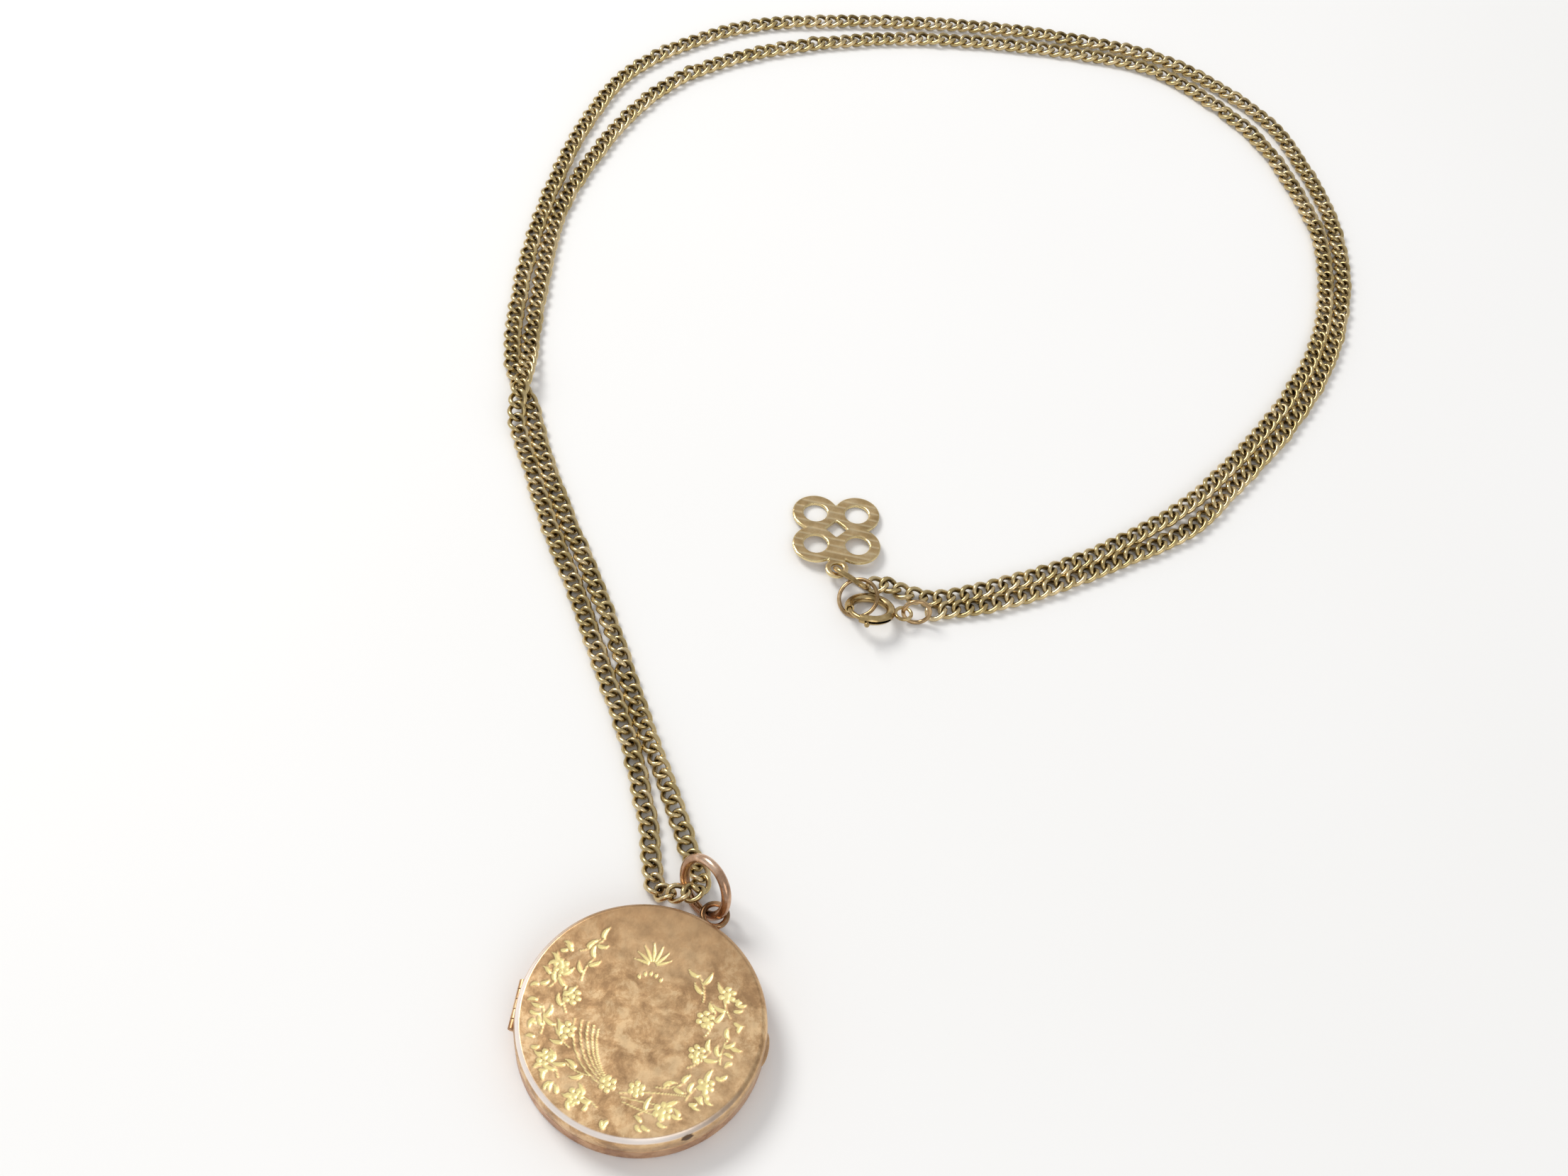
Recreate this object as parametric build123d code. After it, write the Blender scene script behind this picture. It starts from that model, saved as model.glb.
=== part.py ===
from build123d import *
import math
import os

os.makedirs("parts", exist_ok=True)

# Round hinged locket, closed and lying on its back, on a long curb chain with its bolt ring and charm.
# Millimetres. Origin: centre of the back cover's underside. +Z leaves the engraved front,
# the hinge is on the -X side and the engraved design stands upright along +Y.

# ---- case ----
case_radius = 12.5
case_height = 4.5
edge_round = 0.55
plate = 0.4
seam_z = case_height / 2
seam_gap = 0.06
rim_outer = 11.95
rim_inner = 11.55
rim_top = seam_z + 0.65
lid_wall_inner = rim_outer + 0.1

# ---- photo holders ----
card_thick = 0.2
window_thick = 0.25
frame_lip_inner = 10.4
frame_lip_thick = 0.3
lip_gap = 0.02
window_radius = 10.95
frame_skirt_inner = 11.0
lid_frame_outer = 12.0
back_frame_outer = rim_inner - 0.02

# ---- hinge ----
hinge_x = -12.45
knuckle_radius = 0.42
pin_radius = 0.2
pin_clearance = 0.03
knuckle_count = 5
knuckle_pitch = 1.06
knuckle_length = 1.0
notch_radius = 0.62
leaf_offset = 0.1
leaf_depth = 0.37
leaf_height = 0.43
leaf_sink = 0.12
notch_end_gap = 0.08

# ---- hanging loop and bail ring ----
loop_angle = 21.0
loop_distance = 14.25
loop_z = 1.9
loop_mean_radius = 1.28
loop_wire = 0.32
foot_width = 1.5
foot_length = 0.75
foot_height = 0.6
foot_sink = 0.15
case_skin = 0.001
bail_centre = (3.63, 15.49, 3.47)
bail_normal = (-0.634, -0.684, 0.361)
bail_mean_radius = 3.15
bail_wire = 0.53

# ---- thumb lip ----
lip_round = 2.6
lip_centre_x = 10.35
lip_thick = 0.3
lip_gap = 0.02

# ---- clasp ----
bolt_plane = Plane(origin=(16.1, 54.65, 1.58), x_dir=(1, 0, 0), z_dir=(0, 0.407, 0.914))
bolt_mean_radius = 2.45
bolt_tube = 0.55
bolt_bore = 0.33
gap_start = 196.0
gap_end = 248.0
bore_end = 402.0
bore_overrun = 4.0
mouth_bore = 10.0
slot_start = 263.0
slot_end = 327.0
slot_half_width = 0.22
slot_out = 0.5
slot_depth = 0.8
trigger_wire_radius = 0.28
trigger_start = 192.0
trigger_end = 274.0
knob_angle = 268.0
knob_stem = 0.17
knob_reach = 1.15
knob_ball = 0.3
spring_start = 330.0
spring_end = 400.0
spring_outer = 0.27
spring_inner = 0.16
bolt_loop_centre = (20.0, 54.85, 1.5)
bolt_loop_normal = (0, 0.15, 1)
bolt_loop_mean_radius = 0.92
bolt_loop_wire = 0.22
connector_centre = (21.49, 55.18, 1.79)
connector_normal = (0.125, -0.949, 0.289)
connector_mean_radius = 1.55
connector_wire = 0.25
end_ring_centre = (14.53, 56.19, 1.22)
end_ring_normal = (-0.253, -0.316, 0.95)
end_ring_mean_radius = 2.28
end_ring_wire = 0.24
charm_ring_centre = (13.39, 58.67, 1.39)
charm_ring_long = (0.883, -0.470, 0)
charm_ring_normal = (-0.389, -0.732, -0.559)
charm_ring_end_radius = 1.15
charm_ring_half_straight = 1.09
charm_ring_wire = 0.3

# ---- charm ----
charm_hole = (11.52, 59.7, 1.34)
charm_heading = 8.0
charm_slope = 5.4
charm_thick = 0.45
tab_radius = 1.35
tab_hole = 0.75
neck_width = 2.0
lobe_radius = 2.75
lobe_x = 2.5
lobe_near_y = 3.7
lobe_far_y = 8.7
lobe_hole = 1.45
diamond = 1.9
groove_count = 11
groove_pitch = 1.05
groove_first_y = 1.2
groove_radius = 0.35
groove_depth = 0.07
groove_length = 30.0
groove_turn = -12.0

# ---- chain ----
chain_radius = 0.65
arc_share = 0.45
chain_route = [
    (23.9, 57.0, 0.65), (28.0, 57.9, 0.65), (33.0, 60.3, 0.65), (38.6, 63.9, 0.65),
    (44.3, 67.9, 0.65), (50.2, 72.2, 0.65), (54.6, 76.0, 0.65), (57.6, 81.4, 0.65),
    (61.8, 87.6, 0.65), (66.4, 95.8, 0.65), (70.3, 104.8, 0.65), (72.6, 114.6, 0.65),
    (73.1, 124.6, 0.65), (71.4, 134.8, 0.65), (67.9, 143.2, 0.65), (63.6, 151.6, 0.65),
    (56.0, 157.8, 0.65), (46.6, 163.0, 0.65), (36.0, 163.9, 0.65), (23.0, 163.9, 0.65),
    (9.4, 162.0, 0.65), (-2.8, 159.4, 0.65), (-14.0, 156.0, 0.65), (-23.0, 149.4, 0.65),
    (-30.2, 141.2, 0.65), (-33.4, 131.2, 0.65), (-35.0, 120.2, 0.65), (-35.7, 109.4, 0.65),
    (-35.4, 99.0, 0.65), (-34.6, 89.6, 0.65), (-33.0, 82.2, 0.65), (-29.2, 77.0, 0.65),
    (-26.6, 70.6, 0.65), (-22.0, 62.2, 0.65), (-16.7, 53.8, 0.65), (-11.6, 44.6, 0.65),
    (-6.6, 34.6, 0.65), (-1.8, 26.3, 0.65), (0.6, 21.3, 0.65), (2.4, 18.6, 0.7),
    (3.3, 16.5, 1.5), (2.3, 15.0, 2.1), (0.6, 14.9, 1.85), (-1.1, 15.1, 0.85),
    (-2.1, 16.9, 0.65), (-3.0, 20.3, 0.65), (-5.0, 26.0, 0.65), (-7.9, 32.9, 0.65),
    (-12.4, 40.7, 0.65), (-17.3, 50.0, 0.65), (-22.9, 59.3, 0.65), (-26.9, 67.4, 0.65),
    (-30.2, 73.2, 0.75), (-31.0, 77.4, 2.15), (-30.8, 81.2, 2.15), (-31.4, 85.4, 0.75),
    (-32.4, 93.2, 0.65), (-33.2, 102.0, 0.65), (-33.6, 111.2, 0.65), (-31.8, 120.4, 0.65),
    (-28.9, 130.4, 0.65),
    (-24.0, 140.4, 0.65), (-15.0, 148.4, 0.65), (-4.2, 153.9, 0.65), (8.0, 158.2, 0.65),
    (22.0, 160.3, 0.65), (35.2, 160.9, 0.65), (45.2, 160.4, 0.65), (53.6, 155.3, 0.65),
    (61.6, 148.0, 0.65), (66.0, 139.8, 0.65), (69.9, 130.6, 0.65), (70.9, 120.4, 0.65),
    (69.6, 109.4, 0.65), (65.8, 99.4, 0.65), (60.2, 89.3, 0.65), (56.2, 83.0, 0.95),
    (52.3, 77.7, 0.95), (46.0, 72.0, 0.65), (39.2, 66.5, 0.65), (32.2, 62.3, 0.65),
    (25.6, 58.8, 0.65), (21.8, 57.9, 0.65), (18.9, 58.6, 0.75), (17.0, 59.2, 0.95),
]


def ring(centre, normal, mean_radius, wire_radius):
    """A closed round-wire ring."""
    return Plane(origin=centre, z_dir=normal) * Torus(mean_radius, wire_radius)


def disc(radius, low, high):
    """A flat round slab from one height to another."""
    return Pos(0, 0, (low + high) / 2) * Cylinder(radius, high - low)


def tube(outer, inner, low, high):
    """An upright round wall."""
    return disc(outer, low, high) - disc(inner, low - 1, high + 1)


def bent_rod(mean_radius, rod_radius, start, end):
    """A round rod bent about the local Z axis from one angle to another, in degrees."""
    section = Plane.XZ * (Pos(mean_radius, 0) * Circle(rod_radius))
    return Rot(0, 0, start) * revolve(section, Axis.Z, end - start)


def hinge_rod(radius, y_low, y_high):
    """A cylinder along the hinge axis."""
    mid = (y_low + y_high) / 2
    return Pos(hinge_x, mid, seam_z) * Rot(90, 0, 0) * Cylinder(radius, y_high - y_low)


hinge_half = (knuckle_count * knuckle_pitch) / 2


def hinge_notch():
    return hinge_rod(notch_radius, -hinge_half - notch_end_gap, hinge_half + notch_end_gap)


def back_cover():
    body = disc(case_radius, 0, seam_z - seam_gap / 2)
    body = fillet(body.edges().sort_by(Axis.Z)[0], edge_round)
    body -= disc(rim_outer, plate, case_height)
    return body - hinge_notch()


def front_cover():
    body = disc(case_radius, seam_z + seam_gap / 2, case_height)
    body = fillet(body.edges().sort_by(Axis.Z)[-1], edge_round)
    body -= disc(lid_wall_inner, 0, case_height - plate)
    return body - hinge_notch()


def closing_rim():
    return tube(rim_outer, rim_inner, plate, rim_top) - hinge_notch()


def knuckle(index):
    """One hinge tube with a small leaf that reaches its cover: even ones up to the lid, odd ones down."""
    centre_y = (index - (knuckle_count - 1) / 2) * knuckle_pitch
    low, high = centre_y - knuckle_length / 2, centre_y + knuckle_length / 2
    on_lid = index % 2 == 1
    bore = pin_radius + (pin_clearance if on_lid else 0)
    side = 1 if on_lid else -1
    leaf_z = seam_z + side * (knuckle_radius + leaf_height / 2 - leaf_sink)
    leaf_x = hinge_x + leaf_offset + leaf_depth / 2
    leaf = Pos(leaf_x, centre_y, leaf_z) * Box(leaf_depth, knuckle_length, leaf_height)
    barrel = hinge_rod(knuckle_radius, low, high)
    cover = front_cover() if on_lid else back_cover()
    return barrel + (leaf - cover) - hinge_rod(bore, low - 1, high + 1)


def hinge_knuckles(on_lid):
    picked = [knuckle(i) for i in range(knuckle_count) if (i % 2 == 1) == on_lid]
    return Compound(children=[solid for part in picked for solid in part.solids()])


def hinge_pin():
    return hinge_rod(pin_radius, -hinge_half, hinge_half)


def photo_frame(low, outer, mirror_z):
    """Ring of L section: a skirt round the window and card, and a lip that holds them in."""
    depth = card_thick + window_thick
    skirt = tube(outer, frame_skirt_inner, low, low + depth)
    lip = tube(outer, frame_lip_inner, low + depth, low + depth + frame_lip_thick)
    frame = skirt + lip
    return mirror(frame, Plane.XY.offset(seam_z)) if mirror_z else frame


def photo_slab(low, thick, mirror_z):
    slab = disc(window_radius, low, low + thick)
    return mirror(slab, Plane.XY.offset(seam_z)) if mirror_z else slab


def hanging_loop():
    turn = math.radians(loop_angle)
    out = Vector(math.sin(turn), math.cos(turn), 0)
    body = ring(tuple(out * loop_distance + Vector(0, 0, loop_z)), (0, 0, 1), loop_mean_radius, loop_wire)
    foot_top = seam_z - seam_gap / 2
    foot = Pos(0, case_radius + foot_length / 2 - foot_sink, foot_top - foot_height / 2) * Box(
        foot_width, foot_length, foot_height
    )
    body += Rot(0, 0, -loop_angle) * foot
    body -= Pos(*(out * loop_distance)) * Cylinder(loop_mean_radius - loop_wire, 3 * case_height)
    return body - disc(case_radius + case_skin, -1, case_height + 1)


def thumb_lip():
    """A crescent nail catch on the lid, opposite the hinge."""
    low = seam_z + seam_gap / 2 + lip_gap
    blade = Pos(lip_centre_x, 0, low + lip_thick / 2) * Cylinder(lip_round, lip_thick)
    return blade - disc(case_radius, 0, case_height)


def bail_ring():
    return ring(bail_centre, bail_normal, bail_mean_radius, bail_wire)


def bolt_ring_body():
    body = bent_rod(bolt_mean_radius, bolt_tube, gap_end, gap_start + 360)
    body -= bent_rod(bolt_mean_radius, bolt_bore, gap_end - bore_overrun, bore_end)
    mouth_end = gap_start + 360
    body -= bent_rod(bolt_mean_radius, bolt_bore, mouth_end - mouth_bore, mouth_end + bore_overrun)
    slot_middle = Pos(bolt_mean_radius + slot_out, 0)
    slot_section = Plane.XZ * (slot_middle * Rectangle(slot_depth, 2 * slot_half_width))
    body -= Rot(0, 0, slot_start) * revolve(slot_section, Axis.Z, slot_end - slot_start)
    return bolt_plane * body


def bolt_ring_loop():
    body = ring(bolt_loop_centre, bolt_loop_normal, bolt_loop_mean_radius, bolt_loop_wire)
    return body - bolt_plane * Torus(bolt_mean_radius, bolt_tube)


def trigger_wire():
    return bolt_plane * bent_rod(bolt_mean_radius, trigger_wire_radius, trigger_start, trigger_end)


def trigger_knob():
    stem = Pos(bolt_mean_radius + knob_reach / 2, 0, 0) * Rot(0, 90, 0) * Cylinder(knob_stem, knob_reach)
    ball = Pos(bolt_mean_radius + knob_reach, 0, 0) * Sphere(knob_ball)
    knob = Rot(0, 0, knob_angle) * (stem + ball)
    return bolt_plane * (knob - bent_rod(bolt_mean_radius, trigger_wire_radius, trigger_start, trigger_end))


def trigger_spring():
    coil = bent_rod(bolt_mean_radius, spring_outer, spring_start, spring_end)
    return bolt_plane * (coil - bent_rod(bolt_mean_radius, spring_inner, spring_start - 2, spring_end + 2))


def charm_ring():
    """An oval jump ring: two straight sides and two half-round ends."""
    plane = Plane(origin=charm_ring_centre, x_dir=charm_ring_long, z_dir=charm_ring_normal)
    half = charm_ring_half_straight
    end = bent_rod(charm_ring_end_radius, charm_ring_wire, -90, 90)
    side = Rot(0, 90, 0) * Cylinder(charm_ring_wire, 2 * half)
    body = Pos(half, 0, 0) * end + Pos(-half, 0, 0) * Rot(0, 0, 180) * end
    for across in (-charm_ring_end_radius, charm_ring_end_radius):
        body += Pos(0, across, 0) * side
    return plane * body


def charm():
    """A flat openwork quatrefoil with a hung tab and parallel bright-cut grooves."""
    middle = Pos(0, (lobe_near_y + lobe_far_y) / 2)
    outline = Circle(tab_radius) + Pos(0, lobe_near_y / 2) * Rectangle(neck_width, lobe_near_y)
    outline += middle * Rectangle(2 * lobe_x, lobe_far_y - lobe_near_y)
    lobes = [Pos(x, y) for x in (-lobe_x, lobe_x) for y in (lobe_near_y, lobe_far_y)]
    for lobe in lobes:
        outline += lobe * Circle(lobe_radius)
    for lobe in lobes:
        outline -= lobe * Circle(lobe_hole)
    outline -= Circle(tab_hole) + middle * Rot(0, 0, 45) * Rectangle(diamond, diamond)
    body = Pos(0, 0, -charm_thick / 2) * extrude(outline, charm_thick)
    for step in range(groove_count):
        bar = Pos(0, groove_first_y + step * groove_pitch, charm_thick / 2 + groove_radius - groove_depth)
        body -= bar * Rot(0, 0, groove_turn) * Rot(0, 90, 0) * Cylinder(groove_radius, groove_length)
    along = Vector(0, 1, 0).rotate(Axis.X, -charm_slope).rotate(Axis.Z, charm_heading)
    across = Vector(1, 0, 0).rotate(Axis.Z, charm_heading)
    return Plane(origin=charm_hole, x_dir=across, z_dir=across.cross(along)) * body


def chain_radii(route):
    radii = []
    for before, here, after in zip(route, route[1:], route[2:]):
        run_in = Vector(*here) - Vector(*before)
        run_out = Vector(*after) - Vector(*here)
        half_turn = math.radians(run_in.get_angle(run_out)) / 2
        radii.append(arc_share * min(run_in.length, run_out.length) / math.tan(half_turn))
    return radii


def neck_chain():
    radii = chain_radii(chain_route)
    path = FilletPolyline(*chain_route, radius=radii)
    body = sweep(Plane(origin=path @ 0, z_dir=path % 0) * Circle(chain_radius), path=path)
    section = math.pi * chain_radius**2
    print("chain radii", [round(radius, 1) for radius in radii])
    print("chain length", round(path.length, 1), "volume", round(body.volume, 1), "section x length",
          round(section * path.length, 1))
    return body


stack_window = plate + card_thick
nodes = {
    "back_cover": back_cover(),
    "closing_rim": closing_rim(),
    "back_hinge_knuckles": hinge_knuckles(False),
    "hinge_pin": hinge_pin(),
    "hanging_loop": hanging_loop(),
    "back_photo_frame": photo_frame(plate, back_frame_outer, False),
    "back_window": photo_slab(stack_window, window_thick, False),
    "back_card": photo_slab(plate, card_thick, False),
    "front_cover": front_cover(),
    "front_hinge_knuckles": hinge_knuckles(True),
    "thumb_lip": thumb_lip(),
    "front_photo_frame": photo_frame(plate, lid_frame_outer, True),
    "front_window": photo_slab(stack_window, window_thick, True),
    "front_card": photo_slab(plate, card_thick, True),
    "bail_ring": bail_ring(),
    "neck_chain": neck_chain(),
    "connector_ring": ring(connector_centre, connector_normal, connector_mean_radius, connector_wire),
    "bolt_ring_body": bolt_ring_body(),
    "bolt_ring_loop": bolt_ring_loop(),
    "trigger_wire": trigger_wire(),
    "trigger_knob": trigger_knob(),
    "trigger_spring": trigger_spring(),
    "charm_ring": charm_ring(),
    "end_ring": ring(end_ring_centre, end_ring_normal, end_ring_mean_radius, end_ring_wire),
    "charm": charm(),
}

for name, shape in nodes.items():
    export_step(shape, f"parts/{name}.step")
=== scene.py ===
import math

import bpy
import numpy as np
from mathutils import Matrix, Vector


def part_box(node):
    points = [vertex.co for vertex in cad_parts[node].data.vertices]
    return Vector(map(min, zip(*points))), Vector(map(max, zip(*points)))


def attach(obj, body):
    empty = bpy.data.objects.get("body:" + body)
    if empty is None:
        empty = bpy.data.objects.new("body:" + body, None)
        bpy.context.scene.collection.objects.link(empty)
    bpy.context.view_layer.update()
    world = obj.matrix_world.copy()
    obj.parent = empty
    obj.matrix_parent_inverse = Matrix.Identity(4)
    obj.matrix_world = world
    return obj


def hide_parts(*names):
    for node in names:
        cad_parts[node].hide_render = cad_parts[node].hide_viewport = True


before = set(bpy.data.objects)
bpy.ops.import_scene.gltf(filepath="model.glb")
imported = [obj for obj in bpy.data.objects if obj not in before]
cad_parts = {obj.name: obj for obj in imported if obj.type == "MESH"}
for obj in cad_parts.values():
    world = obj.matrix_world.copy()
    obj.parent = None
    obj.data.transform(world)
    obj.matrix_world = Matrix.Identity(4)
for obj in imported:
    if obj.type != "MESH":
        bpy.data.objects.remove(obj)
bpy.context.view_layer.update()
MM = 0.001
scene = bpy.context.scene

# ---------------------------------------------------------------- camera
cam_at = np.array([11.90, -67.29, 177.90])
forward = Vector((-0.02825, 0.57144, -0.82015)).normalized()
level_right = Vector((0.99878, 0.04937, 0.0)).normalized()
level_up = level_right.cross(forward)
roll = math.radians(7.24)
cam_x = level_right * math.cos(roll) + level_up * math.sin(roll)
cam_y = level_up * math.cos(roll) - level_right * math.sin(roll)
camera = bpy.data.objects.new("camera", bpy.data.cameras.new("camera"))
camera.data.lens = 42.38
camera.data.sensor_width = 36.0
camera.data.sensor_fit = "HORIZONTAL"
camera.data.clip_start = 0.01
camera.data.clip_end = 10.0
camera.data.dof.use_dof = False
scene.collection.objects.link(camera)
rotation = Matrix((cam_x, cam_y, -forward)).transposed().to_4x4()
camera.matrix_world = Matrix.Translation(Vector(cam_at * MM)) @ rotation
scene.camera = camera


# ---------------------------------------------------------------- geometry tools, in millimetres
def unit(v):
    v = np.asarray(v, float)
    return v / np.linalg.norm(v, axis=-1, keepdims=True)


def make(name, verts, faces, sharp=None, **attributes):
    """A mesh object from points in millimetres, with optional float attributes per point."""
    mesh = bpy.data.meshes.new(name)
    mesh.from_pydata((np.asarray(verts) * MM).tolist(), [], faces)
    mesh.validate()
    for key, values in attributes.items():
        layer = mesh.attributes.new(key, "FLOAT", "POINT")
        layer.data.foreach_set("value", np.asarray(values, np.float32))
    mesh.shade_smooth()
    if sharp:
        mesh.set_sharp_from_angle(angle=math.radians(sharp))
    obj = bpy.data.objects.new(name, mesh)
    scene.collection.objects.link(obj)
    return obj


def grid_faces(rows, cols, wrap_rows=False, wrap_cols=True):
    """Quads over a rows by cols grid of points, joined round in either direction."""
    faces = []
    for i in range(rows if wrap_rows else rows - 1):
        a, b = i * cols, ((i + 1) % rows) * cols
        for j in range(cols if wrap_cols else cols - 1):
            k = (j + 1) % cols
            faces.append((a + j, a + k, b + k, b + j))
    return faces


def tube(path, radius, closed=False, sides=16, up=(0, 0, 1)):
    """Points and faces of a round tube along a path. Radius is a number or one value per path point."""
    path = np.asarray(path, float)
    n = len(path)
    if closed:
        tangent = unit(np.roll(path, -1, 0) - np.roll(path, 1, 0))
    else:
        tangent = unit(np.gradient(path, axis=0))
    side = unit(np.cross(tangent, np.asarray(up, float)))
    over = np.cross(side, tangent)
    turn = np.linspace(0, 2 * math.pi, sides, endpoint=False)
    radius = np.broadcast_to(np.asarray(radius, float), (n,))
    out = np.cos(turn)[None, :, None] * side[:, None] + np.sin(turn)[None, :, None] * over[:, None]
    ring_points = path[:, None] + radius[:, None, None] * out
    verts = ring_points.reshape(-1, 3)
    faces = grid_faces(n, sides, wrap_rows=closed)
    if not closed:
        faces.append(tuple(range(sides)))
        faces.append(tuple(reversed(range((n - 1) * sides, n * sides))))
    return verts, faces


def join(parts):
    """One list of points and faces from several."""
    verts, faces, start = [], [], 0
    for v, f in parts:
        verts.append(v)
        faces += [tuple(i + start for i in face) for face in f]
        start += len(v)
    return np.concatenate(verts), faces


def basis(normal, first=None):
    """Three axes with the last along normal, and the first along a wanted direction if one is given."""
    z = unit(normal)
    if first is None:
        first = np.cross(z, (1, 0, 0) if abs(z[0]) < 0.9 else (0, 1, 0))
    x = np.array(first, float)
    x = unit(x - z * (x @ z))
    return x, np.cross(z, x), z


def circle(centre, normal, radius, count=72, start=0.0, end=360.0, first=None):
    x, y, _ = basis(normal, first)
    closed = abs(end - start) >= 360
    turn = np.radians(np.linspace(start, end, count, endpoint=not closed))
    return np.asarray(centre, float) + radius * (np.cos(turn)[:, None] * x + np.sin(turn)[:, None] * y)


def wobble(points, amount, scale, seed):
    """Smooth seeded unevenness for hand-worn metal, as a few sine waves."""
    rng = np.random.default_rng(seed)
    total = np.zeros(len(points))
    for _ in range(6):
        k = rng.normal(0, 1.0 / scale, 3)
        total += np.sin(points @ k + rng.uniform(0, 6.28))
    return amount * total / 2.5


# ---------------------------------------------------------------- neck chain, links along its route
chain_route = [
    (23.0, 55.6, 0.75), (23.6, 56.6, 0.65), (28.0, 57.9, 0.65), (33.0, 60.3, 0.65), (38.6, 63.9, 0.65),
    (44.3, 67.9, 0.65), (50.2, 72.2, 0.65), (54.6, 76.0, 0.65), (57.6, 81.4, 0.65),
    (61.8, 87.6, 0.65), (66.4, 95.8, 0.65), (70.3, 104.8, 0.65), (72.6, 114.6, 0.65),
    (73.1, 124.6, 0.65), (71.4, 134.8, 0.65), (67.9, 143.2, 0.65), (63.6, 151.6, 0.65),
    (56.0, 157.8, 0.65), (46.6, 163.0, 0.65), (36.0, 163.9, 0.65), (23.0, 163.9, 0.65),
    (9.4, 162.0, 0.65), (-2.8, 159.4, 0.65), (-14.0, 156.0, 0.65), (-23.0, 149.4, 0.65),
    (-30.2, 141.2, 0.65), (-33.4, 131.2, 0.65), (-35.0, 120.2, 0.65), (-35.7, 109.4, 0.65),
    (-35.4, 99.0, 0.65), (-34.6, 89.6, 0.65), (-33.0, 82.2, 0.65), (-29.2, 77.0, 0.65),
    (-26.6, 70.6, 0.65), (-22.0, 62.2, 0.65), (-16.7, 53.8, 0.65), (-11.6, 44.6, 0.65),
    (-6.6, 34.6, 0.65), (-1.8, 26.3, 0.65), (0.6, 21.3, 0.65), (2.4, 18.6, 0.7),
    (3.3, 16.5, 1.5), (2.3, 15.0, 2.1), (0.6, 14.9, 1.85), (-1.1, 15.1, 0.85),
    (-2.1, 16.9, 0.65), (-3.0, 20.3, 0.65), (-5.0, 26.0, 0.65), (-7.9, 32.9, 0.65),
    (-12.4, 40.7, 0.65), (-17.3, 50.0, 0.65), (-22.9, 59.3, 0.65), (-26.9, 67.4, 0.65),
    (-30.2, 73.2, 0.75), (-31.0, 77.4, 2.15), (-30.8, 81.2, 2.15), (-31.4, 85.4, 0.75),
    (-32.4, 93.2, 0.65), (-33.2, 102.0, 0.65), (-33.6, 111.2, 0.65), (-31.8, 120.4, 0.65),
    (-28.9, 130.4, 0.65), (-24.0, 140.4, 0.65), (-15.0, 148.4, 0.65), (-4.2, 153.9, 0.65),
    (8.0, 158.2, 0.65), (22.0, 160.3, 0.65), (35.2, 160.9, 0.65), (45.2, 160.4, 0.65),
    (53.6, 155.3, 0.65), (61.6, 148.0, 0.65), (66.0, 139.8, 0.65), (69.9, 130.6, 0.65),
    (70.9, 120.4, 0.65), (69.6, 109.4, 0.65), (65.8, 99.4, 0.65), (60.2, 89.3, 0.65),
    (56.2, 83.0, 0.95), (52.3, 77.7, 0.95), (46.0, 72.0, 0.65), (39.2, 66.5, 0.65),
    (32.2, 62.3, 0.65), (25.6, 58.8, 0.65), (21.8, 57.9, 0.65), (18.9, 58.6, 0.75),
    (17.0, 59.2, 0.95), (15.5, 58.2, 0.95),
]
link_pitch = 1.65
link_wire = 0.3
link_long = 1.125
link_wide = 0.88
link_twist = math.radians(-80)

curve = bpy.data.curves.new("chain_line", "CURVE")
curve.dimensions = "3D"
curve.resolution_u = 24
spline = curve.splines.new("NURBS")
spline.points.add(len(chain_route) - 1)
for point, at in zip(spline.points, chain_route):
    point.co = (at[0] * MM, at[1] * MM, at[2] * MM, 1.0)
spline.order_u = 3
spline.use_endpoint_u = True
chain_line = bpy.data.objects.new("chain_line", curve)
scene.collection.objects.link(chain_line)
bpy.context.view_layer.update()
line_mesh = bpy.data.meshes.new_from_object(chain_line.evaluated_get(bpy.context.evaluated_depsgraph_get()))
line = np.array([v.co for v in line_mesh.vertices]) / MM
bpy.data.meshes.remove(line_mesh)
bpy.data.objects.remove(chain_line)

along = np.r_[0, np.cumsum(np.linalg.norm(np.diff(line, axis=0), axis=1))]
chain_length = along[-1]
link_count = int((chain_length - 2 * link_long) / link_pitch) + 1
pitch = (chain_length - 2 * link_long) / (link_count - 1)
bail_at = along[np.argmin(np.linalg.norm(line - np.array([2.6, 15.5, 1.9]), axis=1))]


def on_line(s):
    return np.stack([np.interp(s, along, line[:, k]) for k in range(3)], -1)


def strand_roll(s):
    """How far the chain is turned over along its left strand, on each side of the bail."""
    near_bail = math.exp(-(((s - (bail_at - 17)) / 7) ** 2))
    beyond = math.exp(-(((s - (bail_at - 36)) / 9) ** 2))
    return math.radians(38) * near_bail - math.radians(22) * beyond


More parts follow.
